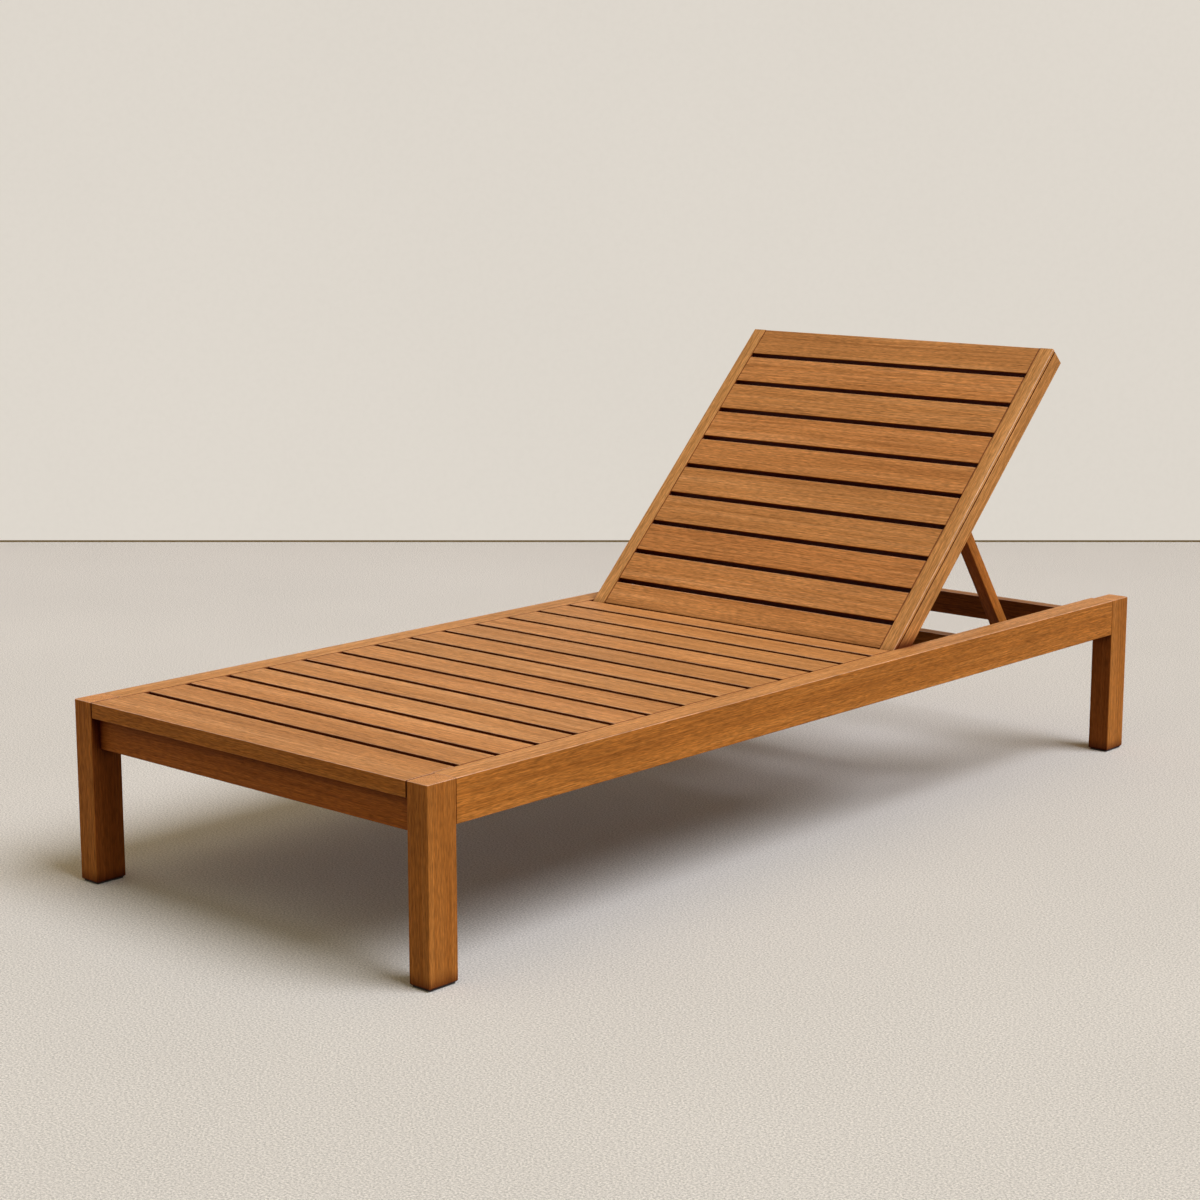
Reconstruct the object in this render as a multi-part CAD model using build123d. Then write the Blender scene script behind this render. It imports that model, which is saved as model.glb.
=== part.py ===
from build123d import *
import math
import os

# An adjustable wooden sun lounger: a low slatted deck on four legs, and a slatted backrest
# that turns on two hidden pins and is propped by a small frame whose pegs stand in notches.
# The origin is on the floor below the middle of the frame, and +Y points to the head end.
# While the pieces are made, y is counted from the foot end; saving moves it to the origin.

# Overall frame
LENGTH = 2000.0
WIDTH = 846.0
HEIGHT = 317.0
EASE = 1.5

# Legs and their glides
LEG_X = 44.0
LEG_Y = 60.0
LEG_EASE = 2.0
LEG_FOOT_BEVEL = 3.0
GLIDE_T = 2.5
GLIDE_INSET = 3.0
GLIDE_EASE = 1.2

# Side rails and cross members
RAIL_X = 50.0
RAIL_Z = 71.0
CROSS_T = 26.0
APRON_Z = 56.0
APRON_RECESS = 17.0
REAR_RAIL_Z = 40.0
REAR_RAIL_RECESS = 17.0
REAR_CREST_Z = 8.0
REAR_CREST_PLAY = 2.0
SEAT_RAIL_Z = 50.0
SEAT_RAIL_BEHIND = 41.0
MIDDLE_RAIL_PAST_HINGE = 336.0
MIDDLE_RAIL_DOWN = 41.0
MIDDLE_RAIL_Z = 44.0
RELIEF_X = 44.0
RELIEF_Z = 16.0

# Seat boards and the cleats under them
SLAT_T = 27.0
SLAT_GAP = 13.0
FRONT_BOARD_Y = 106.0
FRONT_BOARD_LEG_GAP = 2.0
LAST_SLAT_Y = 55.0
FULL_SEAT_SLATS = 12
CLEAT_X = 25.0
CLEAT_Z = 24.0

# Backrest
RECLINE = 45.0
BACK_LENGTH = 742.0
BACK_END_INSET = 2.0
BACK_SIDE_PLAY = 2.0
DECK_CLEAR = 2.0
STILE_X = 31.0
STILE_T = 42.0
BACK_SLAT_T = 18.0
BACK_SLAT_GAP = 10.0
BACK_FIRST_START = 6.0
BACK_FIRST_SLAT_Y = 54.0
FULL_BACK_SLATS = 9
GROOVE_DOWN = 6.0
GROOVE_W = 3.0
GROOVE_DEPTH = 2.2

# Backrest hinge
HINGE_PIN_R = 5.0
HINGE_PIN_IN_RAIL = 30.0
HINGE_PIN_IN_STILE = 24.0
HINGE_WASHER_R = 13.0

# Prop frame behind the backrest
PIVOT_UP_SHARE = 0.4636
PIVOT_DOWN = 31.0
PROP_DROP = 55.0
ARM_X = 26.0
ARM_DEPTH = 23.0
ARM_SIDE_PLAY = 2.0
PROP_BAR_UP = 60.0
PROP_BAR_W = 40.0
PROP_BAR_T = 18.0
PIVOT_PIN_R = 4.0
PIVOT_PIN_IN_STILE = 22.0
PIVOT_WASHER_R = 8.5
PEG_R = 6.0
PEG_OUT = 27.0
PEG_DOWN = 41.6
PEG_FLAT_CLEAR = 0.5

# Notched racks on the side rails
RACK_X = 25.0
RACK_END = 24.0
RACK_PAST_MIDDLE_RAIL = 6.0
RACK_ABOVE_RAIL_EDGE = 1.0
RACK_CLEAR = 0.6
NOTCH_DROP = 5.0
NOTCH_PLAY = 0.6
NOTCH_STEP = 8.0
NOTCHES_BELOW = 3
NOTCHES_ABOVE = 0

# Dowels and screws
DOWEL_R = 5.0
DOWEL_LENGTH = 44.0
DOWEL_SPREAD = 12.0
DOWEL_FROM_OUTSIDE = 16.0
THIN_DOWEL_R = 3.0
THIN_DOWEL_LENGTH = 30.0
THIN_DOWEL_SPREAD = 16.0
DECK_DOWEL_SHARES = (0.3, 0.8)
SCREW_R = 2.0
SCREW_HEAD_R = 4.2
SCREW_HEAD_T = 2.6
SCREW_BITE = 14.0

# Fits
SNUG = 0.03
RUNNING = 0.06
SEAT_GAP = 0.3
WASHER_PLAY = 0.3
OVERRUN = 2.0

# Places worked out from the sizes above
HALF_WIDTH = WIDTH / 2
RAIL_INNER = HALF_WIDTH - RAIL_X
LEG_INNER = HALF_WIDTH - LEG_X
RACK_INNER = RAIL_INNER - RACK_X
RAIL_LOW = HEIGHT - RAIL_Z
DECK_LOW = HEIGHT - SLAT_T
CLEAT_LOW = DECK_LOW - CLEAT_Z
STILE_OUTER = RAIL_INNER - BACK_SIDE_PLAY
STILE_INNER = STILE_OUTER - STILE_X
ARM_OUTER = STILE_INNER - ARM_SIDE_PLAY
ARM_INNER = ARM_OUTER - ARM_X
AXIS_DOWN = STILE_T / 2
HINGE_Y = LENGTH - BACK_END_INSET - BACK_LENGTH
HINGE_Z = HEIGHT - AXIS_DOWN
DECK_END = HINGE_Y - AXIS_DOWN - DECK_CLEAR
SEAT_SLAT_Y = (DECK_END - LAST_SLAT_Y - FRONT_BOARD_Y - SLAT_GAP) / FULL_SEAT_SLATS - SLAT_GAP
BACK_SLAT_Y = (BACK_LENGTH - BACK_FIRST_START - BACK_FIRST_SLAT_Y) / FULL_BACK_SLATS - BACK_SLAT_GAP
SEAT_RAIL_START = HINGE_Y - SEAT_RAIL_BEHIND - CROSS_T
REAR_RAIL_START = LENGTH - REAR_RAIL_RECESS - CROSS_T
REAR_RAIL_TOP = HEIGHT - STILE_T - SEAT_GAP
MIDDLE_RAIL_START = HINGE_Y + MIDDLE_RAIL_PAST_HINGE
MIDDLE_RAIL_TOP = HEIGHT - MIDDLE_RAIL_DOWN
CLEAT_START = LEG_Y + SEAT_GAP
CLEAT_END = SEAT_RAIL_START - SEAT_GAP
RACK_LOW = RAIL_LOW + RACK_ABOVE_RAIL_EDGE
PIVOT_UP = PIVOT_UP_SHARE * BACK_LENGTH
PIVOT_PAST_AXIS = PIVOT_DOWN - AXIS_DOWN
FLAT_PEG_Z = HEIGHT - STILE_T - PEG_FLAT_CLEAR - PEG_R


# Shared helpers
SIDES = (-1, 1)
TURNS = {"X": Rot(0, 90, 0), "Y": Rot(90, 0, 0), "Z": Rot(0, 0, 0)}


def board(x0, x1, y0, y1, z0, z1, ease=EASE):
    body = Pos((x0 + x1) / 2, (y0 + y1) / 2, (z0 + z1) / 2) * Box(x1 - x0, y1 - y0, z1 - z0)
    return fillet(body.edges(), ease)


def rod(x, y, z, radius, length, axis="X"):
    return Pos(x, y, z) * TURNS[axis] * Cylinder(radius, length)


def ring(x, y, z, radius, bore, length):
    return rod(x, y, z, radius, length) - rod(x, y, z, bore, length + OVERRUN)


def screw(length, grow=0.0):
    upright = (Align.CENTER, Align.CENTER, Align.MIN)
    shank = Cylinder(SCREW_R + grow, length + grow, align=upright)
    head = Cone(SCREW_HEAD_R + grow, SCREW_R + grow, SCREW_HEAD_T, align=upright)
    return shank + head


def drilled(body, holes):
    for hole in holes:
        body = body - hole
    return body


def spans(low, widths, gap):
    found = []
    for width in widths:
        found.append((low, low + width))
        low += width + gap
    return found


def to_left(shape):
    return mirror(shape, about=Plane.YZ)


def both_sides(shapes):
    return [*shapes, *[to_left(shape) for shape in shapes]]


def save(name, shapes):
    placed = [Pos(0, -LENGTH / 2, 0) * shape for shape in shapes]
    whole = placed[0] if len(placed) == 1 else Compound(placed)
    export_step(whole, f"parts/{name}.step")


def save_pair(name, shape):
    save(f"{name}_right", [shape])
    save(f"{name}_left", [to_left(shape)])


# Motion of the backrest, of the prop pivot on it and of the pegs, in degrees of recline
def pivot_at(recline):
    turn = math.radians(recline)
    y = HINGE_Y + PIVOT_UP * math.cos(turn) + PIVOT_PAST_AXIS * math.sin(turn)
    z = HINGE_Z + PIVOT_UP * math.sin(turn) - PIVOT_PAST_AXIS * math.cos(turn)
    return y, z


PROP_REACH = (pivot_at(RECLINE)[1] - HEIGHT + PEG_DOWN) / math.sin(math.radians(PROP_DROP))
FLAT_DROP = math.degrees(math.asin((HEIGHT - PIVOT_DOWN - FLAT_PEG_Z) / PROP_REACH))
FOLD_RATIO = (PROP_DROP - FLAT_DROP) / RECLINE


def peg_at(recline):
    y, z = pivot_at(recline)
    drop = math.radians(PROP_DROP + FOLD_RATIO * (recline - RECLINE))
    return y + PROP_REACH * math.cos(drop), z - PROP_REACH * math.sin(drop)


def on_backrest(shape):
    return Pos(0, HINGE_Y, HINGE_Z) * Rot(RECLINE, 0, 0) * Pos(0, 0, AXIS_DOWN) * shape


def on_prop(shape):
    y, z = pivot_at(RECLINE)
    return Pos(0, y, z) * Rot(-PROP_DROP, 0, 0) * shape


# Places of the fasteners on the +X side
def rail_dowel_places():
    x = HALF_WIDTH - DOWEL_FROM_OUTSIDE
    z = HEIGHT - RAIL_Z / 2
    return [(x, y, z + side * DOWEL_SPREAD) for y in (LEG_Y, LENGTH - LEG_Y) for side in SIDES]


def cross_dowel_places(x, start, top, height):
    y = start + CROSS_T / 2
    return [(x, y, top - height / 2 + side * DOWEL_SPREAD) for side in SIDES]


def apron_dowel_places():
    return cross_dowel_places(LEG_INNER, APRON_RECESS, DECK_LOW, APRON_Z)


def rear_dowel_places():
    return cross_dowel_places(LEG_INNER, REAR_RAIL_START, REAR_RAIL_TOP, REAR_RAIL_Z)


def seat_rail_dowel_places():
    return cross_dowel_places(RAIL_INNER, SEAT_RAIL_START, DECK_LOW, SEAT_RAIL_Z)


def middle_dowel_place():
    return RACK_INNER, MIDDLE_RAIL_START + CROSS_T / 2, RACK_LOW + 2 * THIN_DOWEL_R


def deck_dowel_places():
    middles = [start + CROSS_T / 2 for start in (APRON_RECESS, SEAT_RAIL_START)]
    return [(RAIL_INNER * share, y, DECK_LOW) for y in middles for share in DECK_DOWEL_SHARES]


def cleat_screw_places():
    x = RAIL_INNER - CLEAT_X / 2
    return [(x, (low + high) / 2, CLEAT_LOW) for low, high in seat_spans()[1:-1]]


def rack_screw_places():
    angles = [angle + NOTCH_STEP / 2 for angle in rack_angles()]
    z = RACK_LOW + EASE + SCREW_HEAD_R
    return [(RACK_INNER, peg_at(angle)[0], z) for angle in (angles[0], angles[-1])]


def back_dowel_places():
    places = []
    for low, high in back_spans():
        middle = (low + high) / 2
        places += [(STILE_INNER, middle + side * THIN_DOWEL_SPREAD, -BACK_SLAT_T / 2) for side in SIDES]
    return places


def bar_dowel_places():
    return [(ARM_INNER, PROP_BAR_UP + side * PROP_BAR_W / 4, 0.0) for side in SIDES]


def dowels(places, axis="X"):
    return [rod(*place, DOWEL_R, DOWEL_LENGTH - 2 * SEAT_GAP, axis) for place in places]


def dowel_bores(places, axis="X"):
    return [rod(*place, DOWEL_R + SNUG, DOWEL_LENGTH, axis) for place in places]


def thin_dowels(places, axis="X"):
    return [rod(*place, THIN_DOWEL_R, THIN_DOWEL_LENGTH - 2 * SEAT_GAP, axis) for place in places]


def thin_bores(places, axis="X"):
    return [rod(*place, THIN_DOWEL_R + SNUG, THIN_DOWEL_LENGTH, axis) for place in places]


def deck_bores(low, high):
    return thin_bores([place for place in deck_dowel_places() if low < place[1] < high], "Z")


def cleat_screws(grow=0.0):
    length = CLEAT_Z + SCREW_BITE
    return [Pos(*place) * screw(length, grow) for place in cleat_screw_places()]


def rack_screws(grow=0.0):
    length = RACK_X + SCREW_BITE
    return [Pos(*place) * Rot(0, 90, 0) * screw(length, grow) for place in rack_screw_places()]


# Legs and glides
def leg(start, cross_places):
    size = Box(LEG_X, LEG_Y, HEIGHT - GLIDE_T)
    body = Pos(HALF_WIDTH - LEG_X / 2, start + LEG_Y / 2, (HEIGHT + GLIDE_T) / 2) * size
    body = chamfer(body.faces().sort_by(Axis.Z)[0].edges(), LEG_FOOT_BEVEL)
    body = fillet(body.edges().filter_by(Axis.Z), LEG_EASE)
    body = fillet(body.faces().sort_by(Axis.Z)[-1].edges(), EASE)
    near = [place for place in rail_dowel_places() if start <= place[1] <= start + LEG_Y]
    return drilled(body, dowel_bores(near, "Y") + dowel_bores(cross_places))


def glide(start):
    body = Box(LEG_X - 2 * GLIDE_INSET, LEG_Y - 2 * GLIDE_INSET, GLIDE_T)
    body = fillet(body.edges().filter_by(Axis.Z), LEG_EASE)
    body = fillet(body.faces().sort_by(Axis.Z)[0].edges(), GLIDE_EASE)
    return Pos(HALF_WIDTH - LEG_X / 2, start + LEG_Y / 2, GLIDE_T / 2) * body


# Rails
def side_rail():
    body = board(RAIL_INNER, HALF_WIDTH, LEG_Y, LENGTH - LEG_Y, RAIL_LOW, HEIGHT)
    holes = dowel_bores(rail_dowel_places(), "Y") + dowel_bores(seat_rail_dowel_places())
    holes.append(rod(RAIL_INNER, HINGE_Y, HINGE_Z, HINGE_PIN_R + SNUG, 2 * HINGE_PIN_IN_RAIL))
    return drilled(body, holes + rack_screws(SNUG))


def cross_board(half, start, top, height, places):
    body = board(-half, half, start, start + CROSS_T, top - height, top)
    return drilled(body, both_sides(dowel_bores(places) + deck_bores(start, start + CROSS_T)))


# The rear rail is lower at its ends, where the stiles lie on it when the backrest is flat
def rear_cross_rail():
    top = REAR_RAIL_TOP + REAR_CREST_Z
    height = REAR_RAIL_Z + REAR_CREST_Z
    body = cross_board(LEG_INNER, REAR_RAIL_START, top, height, rear_dowel_places())
    width = LEG_INNER - STILE_INNER + REAR_CREST_PLAY + OVERRUN
    x = LEG_INNER + OVERRUN - width / 2
    cutter = Box(width, CROSS_T + 2 * OVERRUN, REAR_CREST_Z + OVERRUN)
    cut = Pos(x, REAR_RAIL_START + CROSS_T / 2, top + (OVERRUN - REAR_CREST_Z) / 2) * cutter
    return drilled(body, both_sides([cut]))


def middle_cross_rail():
    start = MIDDLE_RAIL_START
    top = MIDDLE_RAIL_TOP
    body = board(-RACK_INNER, RACK_INNER, start, start + CROSS_T, top - MIDDLE_RAIL_Z, top)
    width = RELIEF_X + OVERRUN
    x = RACK_INNER + OVERRUN - width / 2
    cutter = Box(width, CROSS_T + 2 * OVERRUN, RELIEF_Z + OVERRUN)
    cut = Pos(x, start + CROSS_T / 2, top + (OVERRUN - RELIEF_Z) / 2) * cutter
    return drilled(body, both_sides([cut, *thin_bores([middle_dowel_place()])]))


# Deck boards, and the cleats that carry them
def seat_spans():
    return spans(0.0, [FRONT_BOARD_Y, *[SEAT_SLAT_Y] * FULL_SEAT_SLATS, LAST_SLAT_Y], SLAT_GAP)


def front_board():
    middle = HEIGHT - SLAT_T / 2
    back = Pos(0, FRONT_BOARD_Y / 2, middle) * Box(2 * RAIL_INNER, FRONT_BOARD_Y, SLAT_T)
    ears = Pos(0, LEG_Y / 2, middle) * Box(2 * (LEG_INNER - FRONT_BOARD_LEG_GAP), LEG_Y, SLAT_T)
    body = fillet((back + ears).edges(), EASE)
    return drilled(body, both_sides(deck_bores(0.0, FRONT_BOARD_Y)))


def seat_slat(low, high):
    body = board(-RAIL_INNER, RAIL_INNER, low, high, DECK_LOW, HEIGHT)
    screws = [hole for hole in cleat_screws(SNUG) if low < hole.center().Y < high]
    return drilled(body, both_sides(screws + deck_bores(low, high)))


def seat_cleat():
    body = board(RAIL_INNER - CLEAT_X, RAIL_INNER, CLEAT_START, CLEAT_END, CLEAT_LOW, DECK_LOW)
    return drilled(body, cleat_screws(SNUG))


# Notched rack, whose upper edge follows the path of the pegs
def rack_angles():
    return [RECLINE + NOTCH_STEP * step for step in range(-NOTCHES_BELOW, NOTCHES_ABOVE + 1)]


def notch_rack():
    half_step = NOTCH_STEP / 2
    crests = [rack_angles()[0] - half_step, *[angle + half_step for angle in rack_angles()]]
    points = [(y, z - PEG_R - RACK_CLEAR) for y, z in map(peg_at, crests)]
    rear_y = points[0][0] + RACK_END
    front_y = MIDDLE_RAIL_START - RACK_PAST_MIDDLE_RAIL
    outline = [(rear_y, points[0][1]), *points, (front_y, points[-1][1])]
    outline += [(front_y, RACK_LOW), (rear_y, RACK_LOW)]
    face = Plane.YZ * make_face(Polyline(*outline, close=True))
    body = Pos(RACK_INNER, 0, 0) * extrude(face, RACK_X)
    for y, z in map(peg_at, rack_angles()):
        radius = PEG_R + NOTCH_PLAY
        body = body - rod(RACK_INNER + RACK_X / 2, y, z - NOTCH_DROP, radius, RACK_X + OVERRUN)
    return drilled(body, rack_screws(SNUG) + thin_bores([middle_dowel_place()]))


# Backrest pieces, made flat with their front face at z 0 and the hinge at y 0
def back_spans():
    widths = [BACK_FIRST_SLAT_Y, *[BACK_SLAT_Y] * FULL_BACK_SLATS]
    return spans(BACK_FIRST_START, widths, BACK_SLAT_GAP)


def eased_bar(x0, x1, length, depth, far_round):
    middle = (x0 + x1) / 2
    body = Pos(middle, length / 2, 0) * Box(x1 - x0, length, depth)
    body = body + rod(middle, 0, 0, depth / 2, x1 - x0)
    if far_round:
        body = body + rod(middle, length, 0, depth / 2, x1 - x0)
    return fillet(body.edges() - body.edges().filter_by(Axis.X), EASE)


def stile():
    body = Pos(0, 0, -AXIS_DOWN) * eased_bar(STILE_INNER, STILE_OUTER, BACK_LENGTH, STILE_T, False)
    groove = Box(2 * GROOVE_DEPTH, BACK_LENGTH + STILE_T + OVERRUN, GROOVE_W)
    holes = [Pos(STILE_OUTER, BACK_LENGTH / 2, -GROOVE_DOWN - GROOVE_W / 2) * groove]
    holes.append(rod(STILE_OUTER, 0, -AXIS_DOWN, HINGE_PIN_R + RUNNING, 2 * HINGE_PIN_IN_STILE))
    holes.append(rod(STILE_INNER, PIVOT_UP, -PIVOT_DOWN, PIVOT_PIN_R + SNUG, 2 * PIVOT_PIN_IN_STILE))
    return drilled(body, holes + thin_bores(back_dowel_places()))


def back_slat(low, high):
    body = board(-STILE_INNER, STILE_INNER, low, high, -BACK_SLAT_T, 0.0)
    places = [place for place in back_dowel_places() if low < place[1] < high]
    return drilled(body, both_sides(thin_bores(places)))


def hinge_pin():
    inner = STILE_OUTER - HINGE_PIN_IN_STILE + SEAT_GAP
    outer = RAIL_INNER + HINGE_PIN_IN_RAIL
    return rod((inner + outer) / 2, HINGE_Y, HINGE_Z, HINGE_PIN_R, outer - inner)


def hinge_washer():
    thick = BACK_SIDE_PLAY - WASHER_PLAY
    return ring(RAIL_INNER - thick / 2, HINGE_Y, HINGE_Z, HINGE_WASHER_R, HINGE_PIN_R + RUNNING, thick)


def pivot_pin():
    outer = STILE_INNER + PIVOT_PIN_IN_STILE
    return rod((ARM_INNER + outer) / 2, PIVOT_UP, -PIVOT_DOWN, PIVOT_PIN_R, outer - ARM_INNER)


def pivot_washer():
    thick = ARM_SIDE_PLAY - WASHER_PLAY
    x = STILE_INNER - thick / 2
    return ring(x, PIVOT_UP, -PIVOT_DOWN, PIVOT_WASHER_R, PIVOT_PIN_R + RUNNING, thick)


# Prop pieces, made lying along +Y from their pivot at y 0
def prop_arm():
    body = eased_bar(ARM_INNER, ARM_OUTER, PROP_REACH, ARM_DEPTH, True)
    middle = (ARM_INNER + ARM_OUTER) / 2
    through = ARM_X + OVERRUN
    holes = [rod(middle, 0, 0, PIVOT_PIN_R + RUNNING, through)]
    holes.append(rod(middle, PROP_REACH, 0, PEG_R + SNUG, through))
    return drilled(body, holes + thin_bores(bar_dowel_places()))


def prop_crossbar():
    low = PROP_BAR_UP - PROP_BAR_W / 2
    high = PROP_BAR_UP + PROP_BAR_W / 2
    body = board(-ARM_INNER, ARM_INNER, low, high, -PROP_BAR_T / 2, PROP_BAR_T / 2)
    return drilled(body, both_sides(thin_bores(bar_dowel_places())))


def peg():
    length = ARM_X + PEG_OUT
    body = rod(ARM_INNER + length / 2, PROP_REACH, 0, PEG_R, length)
    return chamfer(body.edges().sort_by(Axis.X)[-1], EASE)


def save_base():
    save_pair("leg_front", leg(0.0, apron_dowel_places()))
    save_pair("leg_rear", leg(LENGTH - LEG_Y, rear_dowel_places()))
    save("leg_glides", both_sides([glide(0.0), glide(LENGTH - LEG_Y)]))
    save_pair("side_rail", side_rail())
    save("front_apron", [cross_board(LEG_INNER, APRON_RECESS, DECK_LOW, APRON_Z, apron_dowel_places())])
    save("rear_cross_rail", [rear_cross_rail()])
    seat = cross_board(RAIL_INNER, SEAT_RAIL_START, DECK_LOW, SEAT_RAIL_Z, seat_rail_dowel_places())
    save("seat_cross_rail", [seat])
    save("middle_cross_rail", [middle_cross_rail()])
    save_pair("seat_cleat", seat_cleat())
    save_pair("notch_rack", notch_rack())
    save("seat_board_01", [front_board()])
    for number, (low, high) in enumerate(seat_spans()[1:], 2):
        save(f"seat_slat_{number:02d}", [seat_slat(low, high)])
    cross = apron_dowel_places() + rear_dowel_places() + seat_rail_dowel_places()
    save("frame_dowels", both_sides(dowels(rail_dowel_places(), "Y") + dowels(cross)))
    save("rack_dowels", both_sides(thin_dowels([middle_dowel_place()])))
    save("deck_dowels", both_sides(thin_dowels(deck_dowel_places(), "Z")))
    save("seat_screws", both_sides(cleat_screws()))
    save("rack_screws", both_sides(rack_screws()))
    save("hinge_pins", both_sides([hinge_pin()]))
    save("hinge_washers", both_sides([hinge_washer()]))


def save_backrest():
    save_pair("backrest_stile", on_backrest(stile()))
    for number, (low, high) in enumerate(back_spans(), 1):
        save(f"backrest_slat_{number:02d}", [on_backrest(back_slat(low, high))])
    save("backrest_dowels", [on_backrest(piece) for piece in both_sides(thin_dowels(back_dowel_places()))])
    save("prop_pivot_pins", [on_backrest(piece) for piece in both_sides([pivot_pin()])])
    save("prop_washers", [on_backrest(piece) for piece in both_sides([pivot_washer()])])


def save_prop():
    save_pair("prop_arm", on_prop(prop_arm()))
    save("prop_crossbar", [on_prop(prop_crossbar())])
    save("prop_dowels", [on_prop(piece) for piece in both_sides(thin_dowels(bar_dowel_places()))])
    save("prop_pegs", [on_prop(piece) for piece in both_sides([peg()])])


os.makedirs("parts", exist_ok=True)
save_base()
save_backrest()
save_prop()
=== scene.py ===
import math
import random

import bpy
from mathutils import Euler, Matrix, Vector

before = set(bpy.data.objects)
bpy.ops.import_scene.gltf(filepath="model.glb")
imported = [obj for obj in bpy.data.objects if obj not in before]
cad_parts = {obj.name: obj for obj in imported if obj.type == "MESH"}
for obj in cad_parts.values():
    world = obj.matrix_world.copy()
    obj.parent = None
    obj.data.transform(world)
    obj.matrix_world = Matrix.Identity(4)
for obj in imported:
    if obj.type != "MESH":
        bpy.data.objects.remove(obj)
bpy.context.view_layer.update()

# Camera, fitted to the corners of the frame in the photograph
CAMERA_PLACE = (2.9331, -3.4323, 1.2517)
CAMERA_AZIMUTH = math.radians(41.774)
CAMERA_TILT = math.radians(10.713)
CAMERA_LENS = 74.21
CAMERA_SENSOR = 36.0
CAMERA_REACH = 500.0

# Light: a broad soft lamp high on the right, and the pale room around it
LAMP_TOWARDS = Vector((0.70, 0.20, 1.0))
LAMP_ANGLE = math.radians(38.0)
LAMP_STRENGTH = 2.55
LAMP_COLOUR = (0.880, 0.910, 1.0)
ROOM_AT_HORIZON = 0.14
ROOM_OVERHEAD = 0.54
ROOM_COLOUR = (1.0, 0.87, 0.56)

# Below, a scale counts waves per metre on each axis, and a span is the range of a value
# followed, where it isn't 0 to 1, by what that range becomes

# Floor
FLOOR_HALF = 150.0
FLOOR_COLOUR = (0.703, 0.675, 0.638)
FLOOR_BOUNCE = (0.45, 0.41, 0.34)
FLOOR_GRIT_SCALE = (300.0, 300.0, 300.0)
FLOOR_GRIT_SPAN = (0.34, 0.66)
FLOOR_GRIT_CONTRAST = 0.34
FLOOR_SPECK_SCALE = (160.0, 160.0, 160.0)
FLOOR_SPECK_SPAN = (0.70, 0.78)
FLOOR_SPECK_SHARE = 0.25
FLOOR_SPECK_SHADE = 0.35
FLOOR_CLOUD_SCALE = (1.1, 1.1, 1.1)
FLOOR_CLOUD_SPAN = (0.3, 0.7)
FLOOR_CLOUD_SHADES = (0.97, 1.02)
FLOOR_BUMP = (0.35, 0.0006)
FLOOR_ROUGHNESS = 0.9
FLOOR_SPECULAR = 0.05

# Backdrop
WALL_AWAY = 3.07
WALL_HIGH = 9.0
WALL_HALF = 16.0
WALL_COLOUR = (0.735, 0.685, 0.615)
WALL_BOUNCE = (0.80, 0.64, 0.46)
WALL_GAP = 0.006
# Colour of a painted shadow line, a thin dark strip along the foot of the backdrop
WALL_SHADOW_LINE_COLOUR = (0.16, 0.11, 0.05)
WALL_CLOUD_SCALE = (0.5, 0.5, 0.5)
WALL_CLOUD_SPAN = (0.3, 0.7)
WALL_CLOUD_SHADES = (0.98, 1.01)
WALL_GRIT_SCALE = (60.0, 60.0, 60.0)
WALL_GRIT_SPAN = (0.4, 0.7, 0.0, 0.03)
WALL_GRIT_SHADE = 0.5

# Wood: the three tones of the grain, and the colours of the painted light, highlight and shade laid
# over it
GRAIN_DARK = (0.290, 0.088, 0.013)
GRAIN_MID = (0.470, 0.163, 0.028)
GRAIN_LIGHT = (0.630, 0.250, 0.055)
# Painted light and sheen on faces that point up
PAINTED_TOP_LIGHT = (1.150, 1.420, 2.600)
# Colour of a painted highlight along edges that face up
PAINTED_EDGE_HIGHLIGHT = (0.800, 0.450, 0.200)
# Colour of the painted shade in crevices, also used for the dark joint lines
CREVICE_SHADE = (0.200, 0.065, 0.030)
# Painted shade on faces that point inwards or down
PAINTED_INNER_SHADE = (0.620, 0.500, 0.500)
# Share of the painted top light that the outer sides of the stiles take
STILE_SIDE_TOP_LIGHT = 0.60
# Parts that also get the painted inner shade on faces towards the middle along y
INNER_SHADE_ENDS = ("leg", "rear_cross_rail")

# Grain patterns, in board coordinates: along the fibres first, then across them twice
WANDER_SCALE = (1.3, 5.0, 5.0)
WANDER_REACH = 0.030
DEPTH_SHARE = 0.75
BROAD_SCALE = (0.9, 34.0, 0.0)
STREAK_SCALE = (1.8, 230.0, 0.0)
STREAK_SHARE = 0.60
DASH_SCALE = (12.0, 430.0, 430.0)
FIBRE_SCALE = (60.0, 700.0, 700.0)
PORE_SCALE = (45.0, 700.0, 700.0)
PORE_SPAN = (0.56, 0.68)
PATCH_SCALE = (3.0, 9.0, 9.0)
DARK_TO_MID = (0.26, 0.50)
MID_TO_LIGHT = (0.50, 0.74)
FIBRE_SHADE = (0.30, 0.70, 0.74, 1.24)
DASH_SHADE = (0.30, 0.70, 0.80, 1.17)
PATCH_SHADE = (0.30, 0.70, 0.93, 1.06)
PORE_SHADE = (0.0, 1.0, 1.02, 0.74)

# Where up-facing edges get a painted highlight, cut ends are dark, crevices get painted shade,
# joints a dark line, top faces painted light and inner or lower faces painted shade
EDGE_SPAN = (0.80, 0.97, 1.0, 0.0)
EDGE_UP_SPAN = (0.25, 0.65)
EDGE_HIGHLIGHT_PATCH_SPAN = (0.30, 0.70, 0.45, 0.80)
END_SPAN = (0.80, 0.95)
END_SHADE = (0.3, 0.9, 0.34, -0.25)
CREVICE_REACH = 0.03
CREVICE_SAMPLES = 12
CREVICE_SPAN = (0.52, 0.96, 1.0, 0.0)
JOINT_LINE = 0.0020
JOINT_DIRT = 0.8
JOINTS = [("seat_slat", 0.373), ("side_rail", 0.373), ("backrest_s", 0.340)]
NO_JOINT = 9.0
TOP_LIGHT_SPAN = (0.35, 0.70)
UNDER_SPAN = (-0.7, -0.2, 1.0, 0.0)
INWARD_SPAN = (0.3, 0.8)
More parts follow.
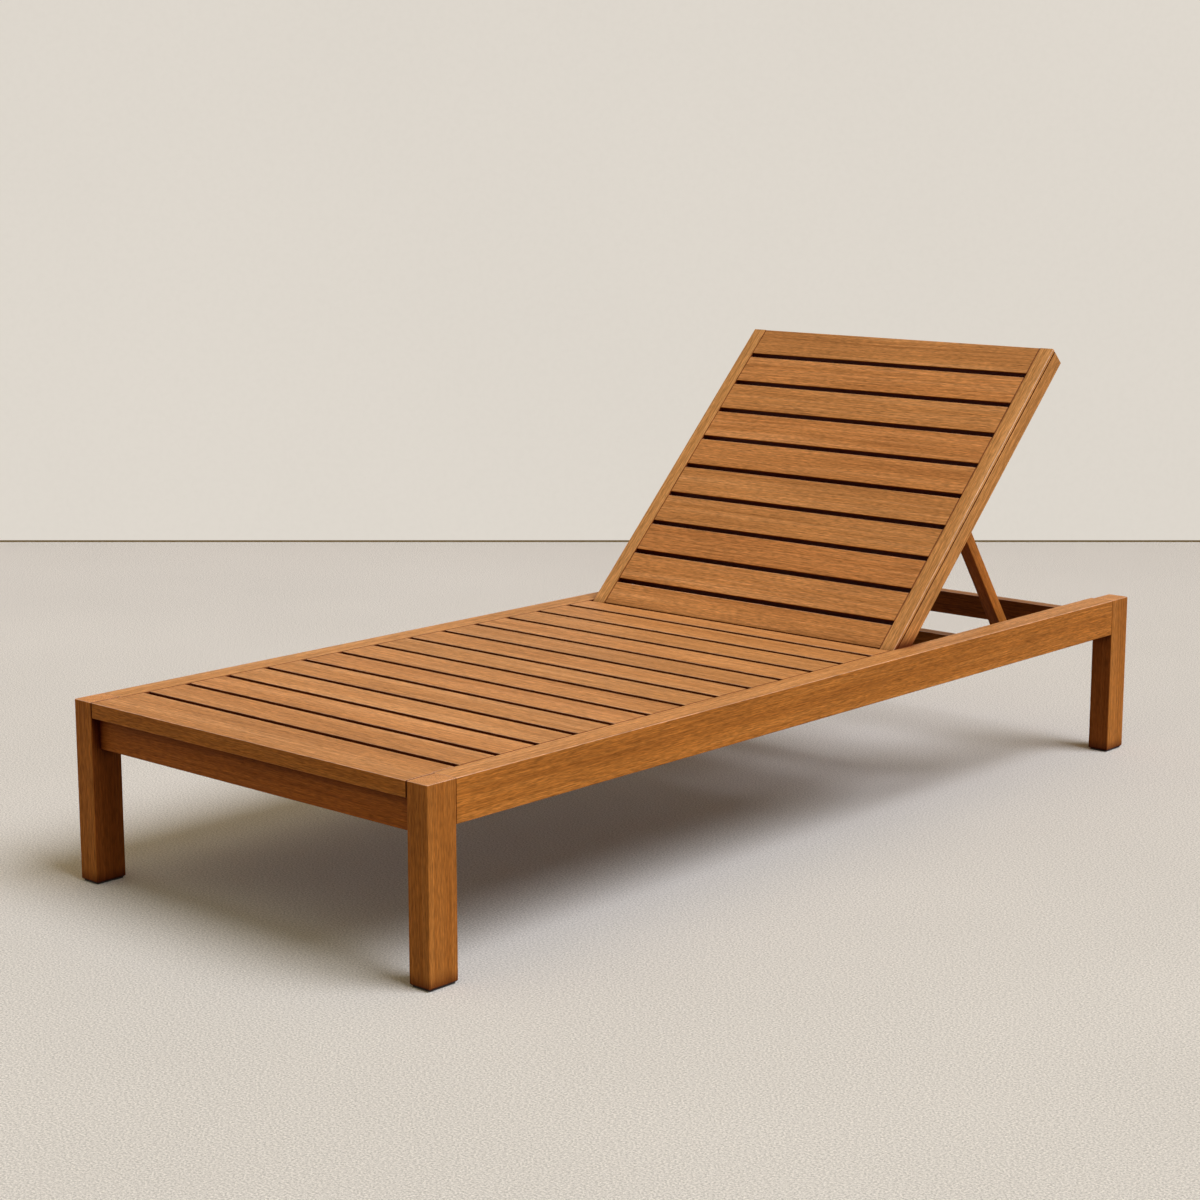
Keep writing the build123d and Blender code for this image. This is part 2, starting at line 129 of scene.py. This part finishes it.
WOOD_ROUGHNESS = (0.30, 0.70, 0.56, 0.46)
WOOD_ROUGHER = 0.15
WOOD_SPECULAR = 0.10
WOOD_BUMP = (0.30, 0.0003)
FIBRE_HEIGHT = 0.4
DASH_HEIGHT = 0.6
PORE_DEPTH = 0.6

# Steel of pins, washers, screws and pegs
STEEL_DARK = (0.50, 0.50, 0.50)
STEEL_LIGHT = (0.63, 0.62, 0.60)
STEEL_BRUSH_SCALE = (90.0, 2600.0, 2600.0)
STEEL_SMUDGE_SCALE = (60.0, 60.0, 60.0)
STEEL_SMUDGE_SPAN = (0.35, 0.70)
STEEL_ROUGHNESS = (0.3, 0.7, 0.24, 0.36)
STEEL_SMUDGE_ROUGHNESS = (0.4, 0.7, 0.0, 0.10)
STEEL_BUMP = (0.25, 0.0001)

# Plastic of the glides
PLASTIC_DARK = (0.018, 0.016, 0.015)
PLASTIC_SCUFFED = (0.060, 0.054, 0.048)
PLASTIC_PEBBLE_SCALE = (900.0, 900.0, 900.0)
PLASTIC_SCUFF_SCALE = (70.0, 70.0, 200.0)
PLASTIC_SCUFF_SPAN = (0.5, 0.75)
PLASTIC_ROUGHNESS = (0.3, 0.7, 0.50, 0.68)
PLASTIC_BUMP = (0.4, 0.0002)

# Turns that bring a board's own length onto x
RECLINE = math.radians(45.0)
PROP_DROP = math.radians(55.0)
ALONG = {
    "x": Euler((0, 0, 0)),
    "y": Euler((0, 0, -math.pi / 2)),
    "z": Euler((0, math.pi / 2, 0)),
    "stile": Euler((-RECLINE, 0, -math.pi / 2)),
    "prop": Euler((PROP_DROP, 0, -math.pi / 2)),
    "slat": Euler((-RECLINE, 0, 0)),
}

# What each node is made of: the start of its name, its grain direction, brightness and redness
WOODEN = [
    ("leg_front", "z", 0.95, 0.00),
    ("leg_rear", "z", 1.14, 0.01),
    ("side_rail", "y", 1.18, -0.02),
    ("front_apron", "x", 0.84, 0.12),
    # The cross rails, cleats and racks below are toned darker as painted shade for the inside of
    # the frame
    ("rear_cross_rail", "x", 0.60, 0.06),
    ("seat_cross_rail", "x", 0.70, 0.04),
    ("middle_cross_rail", "x", 0.60, 0.04),
    ("seat_cleat", "y", 0.70, 0.04),
    ("notch_rack", "y", 0.70, 0.04),
    ("seat_board", "x", 1.08, 0.00),
    ("seat_slat", "x", 1.06, -0.01),
    # The backrest's stiles and slats are toned lighter as painted light
    ("backrest_stile", "stile", 1.38, -0.05),
    ("backrest_slat", "slat", 1.20, 0.01),
    ("prop_arm", "prop", 1.05, 0.02),
    ("prop_crossbar", "x", 0.80, 0.02),
    ("frame_dowels", "x", 1.15, -0.06),
    ("rack_dowels", "x", 1.15, -0.06),
    ("deck_dowels", "z", 1.15, -0.06),
    ("backrest_dowels", "x", 1.15, -0.06),
    ("prop_dowels", "x", 1.15, -0.06),
]
METAL = (
    "seat_screws", "rack_screws", "hinge_pins", "hinge_washers",
    "prop_pivot_pins", "prop_washers", "prop_pegs",
)
PLASTIC = "leg_glides"

# How boards of one kind differ, and how far apart in the wood they are cut
BOARD_BRIGHT_SPREAD = 0.06
BOARD_RED_SPREAD = 0.018
BOARD_PLACE_SPREAD = 9
RED_ON_GREEN = 0.35
SEED = 11


# Node helpers
class Nodes:
    def __init__(self, tree):
        self.tree = tree

    def add(self, kind, **values):
        node = self.tree.nodes.new(kind)
        for name, value in values.items():
            setattr(node, name, value)
        return node

    def join(self, source, target):
        self.tree.links.new(source, target)

    def put(self, value, socket):
        if isinstance(value, bpy.types.NodeSocket):
            self.join(value, socket)
        else:
            socket.default_value = value

    def maths(self, operation, a, b=0.0):
        node = self.add("ShaderNodeMath", operation=operation)
        self.put(a, node.inputs[0])
        self.put(b, node.inputs[1])
        return node.outputs[0]

    def vector(self, operation, a, b=(0.0, 0.0, 0.0)):
        node = self.add("ShaderNodeVectorMath", operation=operation)
        self.put(a, node.inputs[0])
        self.put(b, node.inputs[1])
        return node.outputs["Vector"]

    def split(self, vector):
        node = self.add("ShaderNodeSeparateXYZ")
        self.join(vector, node.inputs[0])
        return node.outputs

    def noise(self, place, scale, detail=2.0, roughness=0.5):
        stretched = self.vector("MULTIPLY", place, scale)
        node = self.add("ShaderNodeTexNoise", noise_dimensions="3D")
        self.put(stretched, node.inputs["Vector"])
        node.inputs["Scale"].default_value = 1.0
        node.inputs["Detail"].default_value = detail
        node.inputs["Roughness"].default_value = roughness
        return node.outputs["Fac"]

    def span(self, value, low, high, new_low=0.0, new_high=1.0):
        node = self.add("ShaderNodeMapRange", clamp=True)
        self.put(value, node.inputs["Value"])
        node.inputs["From Min"].default_value = low
        node.inputs["From Max"].default_value = high
        node.inputs["To Min"].default_value = new_low
        node.inputs["To Max"].default_value = new_high
        return node.outputs["Result"]

    def mix(self, share, a, b, blend="MIX"):
        node = self.add("ShaderNodeMix", data_type="RGBA", blend_type=blend)
        self.put(share, node.inputs["Factor"])
        self.put(a, node.inputs["A"])
        self.put(b, node.inputs["B"])
        return node.outputs["Result"]

    def tinted(self, colour, tint):
        return self.mix(1.0, colour, rgba(tint), blend="MULTIPLY")

    def bump(self, height, strength, distance):
        node = self.add("ShaderNodeBump")
        node.inputs["Strength"].default_value = strength
        node.inputs["Distance"].default_value = distance
        self.join(height, node.inputs["Height"])
        return node.outputs[0]

    def mix_shader(self, share, a, b):
        node = self.add("ShaderNodeMixShader")
        for source, target in zip((share, a, b), node.inputs):
            self.join(source, target)
        return node.outputs[0]

    def surface(self, shader, kind="ShaderNodeOutputMaterial"):
        self.join(shader, self.add(kind).inputs["Surface"])

    def principled(self, values):
        node = self.add("ShaderNodeBsdfPrincipled")
        for name, value in values.items():
            self.put(value, node.inputs[name])
        return node.outputs[0]

    # 1 for the rays that see things as they are, 0 for the rays that only gather light
    def seeing_rays(self):
        path = self.add("ShaderNodeLightPath").outputs
        mirrored = self.maths("MAXIMUM", path["Is Glossy Ray"], path["Is Transmission Ray"])
        return self.maths("MAXIMUM", path["Is Camera Ray"], mirrored)


def new_material(name):
    material = bpy.data.materials.new(name)
    material.use_nodes = True
    material.node_tree.nodes.clear()
    return material, Nodes(material.node_tree)


def rgba(colour):
    return (*colour, 1.0)


def scaled(colour, factor):
    return rgba([factor * c for c in colour])


# Wood grain in board coordinates: x runs along the fibres, y and z across them
GRAIN_INPUTS = {
    "Place": "NodeSocketVector",
    "Facing": "NodeSocketVector",
    "Up": "NodeSocketFloat",
    "Inward": "NodeSocketFloat",
    "From joint": "NodeSocketFloat",
    "Dark": "NodeSocketColor",
    "Mid": "NodeSocketColor",
    "Light": "NodeSocketColor",
}
GRAIN_OUTPUTS = {
    "Color": "NodeSocketColor",
    "Roughness": "NodeSocketFloat",
    "Height": "NodeSocketFloat",
}


# The wood's place with its fibres wandering a little, so that no streak is dead straight
def bent_place(nodes, place):
    wander = nodes.noise(place, WANDER_SCALE, detail=1.0)
    wander = nodes.maths("MULTIPLY", nodes.maths("SUBTRACT", wander, 0.5), WANDER_REACH)
    straight = nodes.split(place)
    across = nodes.maths("ADD", straight["Y"], wander)
    across = nodes.maths("ADD", across, nodes.maths("MULTIPLY", straight["Z"], DEPTH_SHARE))
    bent = nodes.add("ShaderNodeCombineXYZ")
    nodes.join(straight["X"], bent.inputs["X"])
    nodes.join(across, bent.inputs["Y"])
    return bent.outputs[0]


# Painted shade in crevices, where the surroundings block light, and on faces that point up also a
# dark line along the joint with the next piece
def crevice_shade_and_joint_line(nodes, up, from_joint):
    crevice = nodes.add("ShaderNodeAmbientOcclusion", samples=CREVICE_SAMPLES)
    crevice.inputs["Distance"].default_value = CREVICE_REACH
    crevice_shade_and_joint = nodes.span(crevice.outputs["AO"], *CREVICE_SPAN)
    line = nodes.span(from_joint, JOINT_LINE / 2, JOINT_LINE, JOINT_DIRT, 0.0)
    return nodes.maths("MAXIMUM", crevice_shade_and_joint, nodes.maths("MULTIPLY", up, line))


def grain_group():
    tree = bpy.data.node_groups.new("wood_grain", "ShaderNodeTree")
    nodes = Nodes(tree)
    for name, kind in GRAIN_INPUTS.items():
        tree.interface.new_socket(name, in_out="INPUT", socket_type=kind)
    for name, kind in GRAIN_OUTPUTS.items():
        tree.interface.new_socket(name, in_out="OUTPUT", socket_type=kind)
    given = nodes.add("NodeGroupInput").outputs
    result = nodes.add("NodeGroupOutput").inputs

    # Broad bands, streaks, fibres and pores
    bent = bent_place(nodes, given["Place"])
    broad = nodes.noise(bent, BROAD_SCALE)
    streak = nodes.noise(bent, STREAK_SCALE, detail=4.0, roughness=0.62)
    dash = nodes.noise(given["Place"], DASH_SCALE, detail=3.0, roughness=0.6)
    fibre = nodes.noise(given["Place"], FIBRE_SCALE, detail=1.0, roughness=0.6)
    pore = nodes.span(nodes.noise(given["Place"], PORE_SCALE, detail=1.0), *PORE_SPAN)
    patch = nodes.noise(given["Place"], PATCH_SCALE)
    streaks = nodes.maths("MULTIPLY", streak, STREAK_SHARE)
    tone = nodes.maths("ADD", streaks, nodes.maths("MULTIPLY", broad, 1.0 - STREAK_SHARE))
    colour = nodes.mix(nodes.span(tone, *DARK_TO_MID), given["Dark"], given["Mid"])
    colour = nodes.mix(nodes.span(tone, *MID_TO_LIGHT), colour, given["Light"])

    # Edges that face up get a painted highlight in patches, cut ends are darker, crevices get
    # painted shade and joints a dark line
    facing = nodes.split(nodes.vector("ABSOLUTE", given["Facing"]))
    flat = nodes.maths("MAXIMUM", facing["X"], facing["Y"])
    edge = nodes.span(nodes.maths("MAXIMUM", flat, facing["Z"]), *EDGE_SPAN)
    up = nodes.span(given["Up"], *EDGE_UP_SPAN)
    cut = nodes.span(facing["X"], *END_SPAN)
    end = nodes.maths("MULTIPLY", cut, nodes.span(given["Up"], *END_SHADE))
    crevice_shade_and_joint = crevice_shade_and_joint_line(nodes, up, given["From joint"])
    # Painted highlight on edges that face up, in patches, kept out of crevices and joints
    edge_highlight = nodes.maths("MULTIPLY", nodes.maths("MULTIPLY", edge, up), nodes.span(patch, *EDGE_HIGHLIGHT_PATCH_SPAN))
    clear_of_shade_and_joint = nodes.maths("SUBTRACT", 1.0, crevice_shade_and_joint)
    colour = nodes.mix(nodes.maths("MULTIPLY", edge_highlight, clear_of_shade_and_joint), colour, rgba(PAINTED_EDGE_HIGHLIGHT))
    shade = nodes.span(fibre, *FIBRE_SHADE)
    shade = nodes.maths("MULTIPLY", shade, nodes.span(dash, *DASH_SHADE))
    shade = nodes.maths("MULTIPLY", shade, nodes.span(patch, *PATCH_SHADE))
    shade = nodes.maths("MULTIPLY", shade, nodes.span(pore, *PORE_SHADE))
    shade = nodes.maths("MULTIPLY", shade, nodes.maths("SUBTRACT", 1.0, end))
    shading = nodes.add("ShaderNodeCombineXYZ")
    for socket in shading.inputs:
        nodes.join(shade, socket)
    colour = nodes.mix(1.0, colour, shading.outputs[0], blend="MULTIPLY")
    # Painted shade in crevices and the dark joint lines darken the colour here
    colour = nodes.mix(crevice_shade_and_joint, colour, nodes.tinted(colour, CREVICE_SHADE))

    # Faces that point up get painted light and sheen, and those that point inwards or down get
    # painted shade
    top_lit = nodes.span(given["Up"], *TOP_LIGHT_SPAN)
    colour = nodes.mix(top_lit, colour, nodes.tinted(colour, PAINTED_TOP_LIGHT))
    under = nodes.span(given["Up"], *UNDER_SPAN)
    inner_shade = nodes.maths("MAXIMUM", under, nodes.span(given["Inward"], *INWARD_SPAN))
    colour = nodes.mix(inner_shade, colour, nodes.tinted(colour, PAINTED_INNER_SHADE))
    nodes.join(colour, result["Color"])

    rough = nodes.span(tone, *WOOD_ROUGHNESS)
    for extra in (pore, end, crevice_shade_and_joint):
        rough = nodes.maths("ADD", rough, nodes.maths("MULTIPLY", extra, WOOD_ROUGHER))
    nodes.join(rough, result["Roughness"])
    fibres = nodes.maths("MULTIPLY", fibre, FIBRE_HEIGHT)
    height = nodes.maths("ADD", fibres, nodes.maths("MULTIPLY", dash, DASH_HEIGHT))
    height = nodes.maths("SUBTRACT", height, nodes.maths("MULTIPLY", pore, PORE_DEPTH))
    nodes.join(height, result["Height"])
    return tree


def shifted(colour, bright, red):
    r, g, b = colour
    less_green = 1 - RED_ON_GREEN * red
    return rgba((r * bright * (1 + red), g * bright * less_green, b * bright * (1 - red)))


# A coordinate turned so that x runs along the board
def turned(nodes, source, along, kind):
    node = nodes.add("ShaderNodeMapping", vector_type=kind)
    node.inputs["Rotation"].default_value = ALONG[along]
    nodes.join(source, node.inputs["Vector"])
    return node


# How far a face points up, counting the outer sides of the stiles as partly so, so that those sides
# take part of the painted top light
def upward(nodes, normal, outward, along):
    share = STILE_SIDE_TOP_LIGHT if along == "stile" else 0.0
    return nodes.maths("ADD", normal["Z"], nodes.maths("MULTIPLY", outward, share))


# How far a face points towards the middle of the lounger
def inward(nodes, name, place, normal, outward):
    towards = nodes.maths("MULTIPLY", outward, -1.0)
    # Legs and the rear cross rail also get painted shade on faces towards the middle along y
    if name.startswith(INNER_SHADE_ENDS):
        endward = nodes.maths("MULTIPLY", normal["Y"], nodes.maths("SIGN", place["Y"]))
        towards = nodes.maths("MAXIMUM", towards, nodes.maths("MULTIPLY", endward, -1.0))
    return towards


def wood(name, group, along, bright, red, draw):
    material, nodes = new_material(f"wood_{name}")
    own = nodes.add("ShaderNodeTexCoord").outputs
    place = turned(nodes, own["Object"], along, "POINT")
    spread = BOARD_PLACE_SPREAD
    place.inputs["Location"].default_value = [draw.uniform(-spread, spread) for _ in range(3)]
    facing = turned(nodes, own["Normal"], along, "VECTOR")

    normal = nodes.split(own["Normal"])
    own_place = nodes.split(own["Object"])
    outward = nodes.maths("MULTIPLY", normal["X"], nodes.maths("SIGN", own_place["X"]))
    joint = next((x for start, x in JOINTS if name.startswith(start)), NO_JOINT)
    from_middle = nodes.maths("ABSOLUTE", own_place["X"])
    from_joint = nodes.maths("ABSOLUTE", nodes.maths("SUBTRACT", from_middle, joint))

    grain = nodes.add("ShaderNodeGroup", node_tree=group)
    given = {
        "Place": place.outputs[0],
        "Facing": facing.outputs[0],
        "Up": upward(nodes, normal, outward, along),
        "Inward": inward(nodes, name, own_place, normal, outward),
        "From joint": from_joint,
        "Dark": shifted(GRAIN_DARK, bright, red),
        "Mid": shifted(GRAIN_MID, bright, red),
        "Light": shifted(GRAIN_LIGHT, bright, red),
    }
    for port, value in given.items():
        nodes.put(value, grain.inputs[port])

    shader = nodes.principled({
        "Base Color": grain.outputs["Color"],
        "Roughness": grain.outputs["Roughness"],
        "Normal": nodes.bump(grain.outputs["Height"], *WOOD_BUMP),
        "Specular IOR Level": WOOD_SPECULAR,
    })
    nodes.surface(shader)
    return material


def steel():
    material, nodes = new_material("brushed_steel")
    place = nodes.add("ShaderNodeTexCoord").outputs["Object"]
    brushing = nodes.noise(place, STEEL_BRUSH_SCALE, detail=3.0)
    smudge = nodes.noise(place, STEEL_SMUDGE_SCALE)
    smudged = nodes.span(smudge, *STEEL_SMUDGE_SPAN)
    rough = nodes.span(brushing, *STEEL_ROUGHNESS)
    shader = nodes.principled({
        "Metallic": 1.0,
        "Base Color": nodes.mix(smudged, rgba(STEEL_DARK), rgba(STEEL_LIGHT)),
        "Roughness": nodes.maths("ADD", rough, nodes.span(smudge, *STEEL_SMUDGE_ROUGHNESS)),
        "Normal": nodes.bump(brushing, *STEEL_BUMP),
    })
    nodes.surface(shader)
    return material


def glide_plastic():
    material, nodes = new_material("glide_plastic")
    place = nodes.add("ShaderNodeTexCoord").outputs["Object"]
    pebble = nodes.noise(place, PLASTIC_PEBBLE_SCALE)
    scuff = nodes.noise(place, PLASTIC_SCUFF_SCALE, detail=3.0)
    scuffed = nodes.span(scuff, *PLASTIC_SCUFF_SPAN)
    shader = nodes.principled({
        "Base Color": nodes.mix(scuffed, rgba(PLASTIC_DARK), rgba(PLASTIC_SCUFFED)),
        "Roughness": nodes.span(scuff, *PLASTIC_ROUGHNESS),
        "Normal": nodes.bump(pebble, *PLASTIC_BUMP),
    })
    nodes.surface(shader)
    return material


def dress():
    group = grain_group()
    metal = steel()
    plastic = glide_plastic()
    draw = random.Random(SEED)
    for name in sorted(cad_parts):
        mesh = bpy.data.objects[name].data
        if name == PLASTIC:
            material = plastic
        elif name in METAL:
            material = metal
        else:
            along, bright, red = next(row[1:] for row in WOODEN if name.startswith(row[0]))
            bright += draw.uniform(-BOARD_BRIGHT_SPREAD, BOARD_BRIGHT_SPREAD)
            red += draw.uniform(-BOARD_RED_SPREAD, BOARD_RED_SPREAD)
            material = wood(name, group, along, bright, red, draw)
        mesh.materials.clear()
        mesh.materials.append(material)


# Floor and backdrop
def plane(name, corners, material):
    mesh = bpy.data.meshes.new(name)
    mesh.from_pydata([tuple(corner) for corner in corners], [], [(0, 1, 2, 3)])
    mesh.materials.append(material)
    made = bpy.data.objects.new(name, mesh)
    bpy.context.scene.collection.objects.link(made)


# The colour of a surface with soft clouds between two shades of it
def clouded(nodes, place, scale, span, shades, colour, **detail):
    cloud = nodes.span(nodes.noise(place, scale, **detail), *span)
    return nodes.mix(cloud, scaled(colour, shades[0]), scaled(colour, shades[1]))


def floor_material():
    material, nodes = new_material("pale_concrete")
    place = nodes.add("ShaderNodeTexCoord").outputs["Object"]
    grit = nodes.noise(place, FLOOR_GRIT_SCALE, detail=3.0, roughness=0.75)
    speck = nodes.span(nodes.noise(place, FLOOR_SPECK_SCALE, detail=1.0), *FLOOR_SPECK_SPAN)
    colour = clouded(
        nodes, place, FLOOR_CLOUD_SCALE, FLOOR_CLOUD_SPAN, FLOOR_CLOUD_SHADES, FLOOR_COLOUR,
        detail=4.0, roughness=0.55,
    )
    darker = rgba([1 - FLOOR_GRIT_CONTRAST] * 3)
    lighter = rgba([1 + FLOOR_GRIT_CONTRAST] * 3)
    tone = nodes.mix(nodes.span(grit, *FLOOR_GRIT_SPAN), darker, lighter)
    colour = nodes.mix(1.0, colour, tone, blend="MULTIPLY")
    specks = nodes.maths("MULTIPLY", speck, FLOOR_SPECK_SHARE)
    colour = nodes.mix(specks, colour, scaled(FLOOR_COLOUR, FLOOR_SPECK_SHADE))
    shader = nodes.principled({
        "Base Color": nodes.mix(nodes.seeing_rays(), nodes.tinted(colour, FLOOR_BOUNCE), colour),
        "Roughness": FLOOR_ROUGHNESS,
        "Specular IOR Level": FLOOR_SPECULAR,
        "Normal": nodes.bump(grit, *FLOOR_BUMP),
    })
    nodes.surface(shader)
    return material


# A backdrop that shows its own colour to the camera, and nothing from behind
def backdrop_material(name, colour):
    material, nodes = new_material(name)
    place = nodes.add("ShaderNodeTexCoord").outputs["Object"]
    tint = clouded(
        nodes, place, WALL_CLOUD_SCALE, WALL_CLOUD_SPAN, WALL_CLOUD_SHADES, colour, detail=3.0,
    )
    grit = nodes.span(nodes.noise(place, WALL_GRIT_SCALE, detail=3.0), *WALL_GRIT_SPAN)
    tint = nodes.mix(grit, tint, scaled(colour, WALL_GRIT_SHADE))
    seen = nodes.add("ShaderNodeEmission")
    nodes.join(tint, seen.inputs["Color"])
    plain = nodes.add("ShaderNodeBsdfDiffuse")
    nodes.join(nodes.tinted(tint, WALL_BOUNCE), plain.inputs["Color"])
    face = nodes.mix_shader(nodes.seeing_rays(), plain.outputs[0], seen.outputs[0])
    behind = nodes.add("ShaderNodeNewGeometry").outputs["Backfacing"]
    clear = nodes.add("ShaderNodeBsdfTransparent")
    nodes.surface(nodes.mix_shader(behind, face, clear.outputs[0]))
    return material


def wall_corner(side, up):
    away = Vector((-math.sin(CAMERA_AZIMUTH), math.cos(CAMERA_AZIMUTH), 0.0)) * WALL_AWAY
    sideways = Vector((math.cos(CAMERA_AZIMUTH), math.sin(CAMERA_AZIMUTH), 0.0)) * side
    return away + sideways + Vector((0.0, 0.0, up))


def wall(name, low, high, material):
    corners = [(-WALL_HALF, low), (WALL_HALF, low), (WALL_HALF, high), (-WALL_HALF, high)]
    plane(name, [wall_corner(*corner) for corner in corners], material)


def set_stage():
    square = [(-1, -1), (1, -1), (1, 1), (-1, 1)]
    corners = [(x * FLOOR_HALF, y * FLOOR_HALF, 0.0) for x, y in square]
    plane("floor", corners, floor_material())
    wall("backdrop", WALL_GAP, WALL_HIGH, backdrop_material("pale_plaster", WALL_COLOUR))
    # A thin dark strip at the foot of the backdrop is a painted shadow line
    wall("backdrop_shadow_line", 0.0, WALL_GAP, backdrop_material("shadow_gap", WALL_SHADOW_LINE_COLOUR))


def set_lamp():
    lamp = bpy.data.lights.new("lamp", "SUN")
    lamp.energy = LAMP_STRENGTH
    lamp.angle = LAMP_ANGLE
    lamp.color = LAMP_COLOUR
    holder = bpy.data.objects.new("lamp", lamp)
    holder.rotation_euler = LAMP_TOWARDS.to_track_quat("Z", "Y").to_euler()
    bpy.context.scene.collection.objects.link(holder)


# The room's light grows from the horizon upwards, and what is seen of it looks like the wall
def set_room():
    world = bpy.data.worlds.new("room")
    bpy.context.scene.world = world
    world.use_nodes = True
    world.node_tree.nodes.clear()
    nodes = Nodes(world.node_tree)
    towards = nodes.split(nodes.add("ShaderNodeTexCoord").outputs["Generated"])
    height = nodes.maths("MAXIMUM", towards["Z"], 0.0)
    overhead = nodes.maths("MULTIPLY", nodes.maths("MULTIPLY", height, height), ROOM_OVERHEAD)
    light = nodes.add("ShaderNodeBackground")
    light.inputs["Color"].default_value = rgba(ROOM_COLOUR)
    nodes.join(nodes.maths("ADD", overhead, ROOM_AT_HORIZON), light.inputs["Strength"])
    seen = nodes.add("ShaderNodeBackground")
    seen.inputs["Color"].default_value = rgba(WALL_COLOUR)
    both = nodes.mix_shader(nodes.seeing_rays(), light.outputs[0], seen.outputs[0])
    nodes.surface(both, kind="ShaderNodeOutputWorld")


def set_camera():
    camera = bpy.data.cameras.new("camera")
    camera.lens = CAMERA_LENS
    camera.sensor_width = CAMERA_SENSOR
    camera.clip_end = CAMERA_REACH
    holder = bpy.data.objects.new("camera", camera)
    holder.location = CAMERA_PLACE
    holder.rotation_euler = (math.pi / 2 - CAMERA_TILT, 0.0, CAMERA_AZIMUTH)
    bpy.context.scene.collection.objects.link(holder)
    bpy.context.scene.camera = holder


dress()
set_stage()
set_lamp()
set_room()
set_camera()
bpy.context.scene.view_settings.view_transform = "Standard"
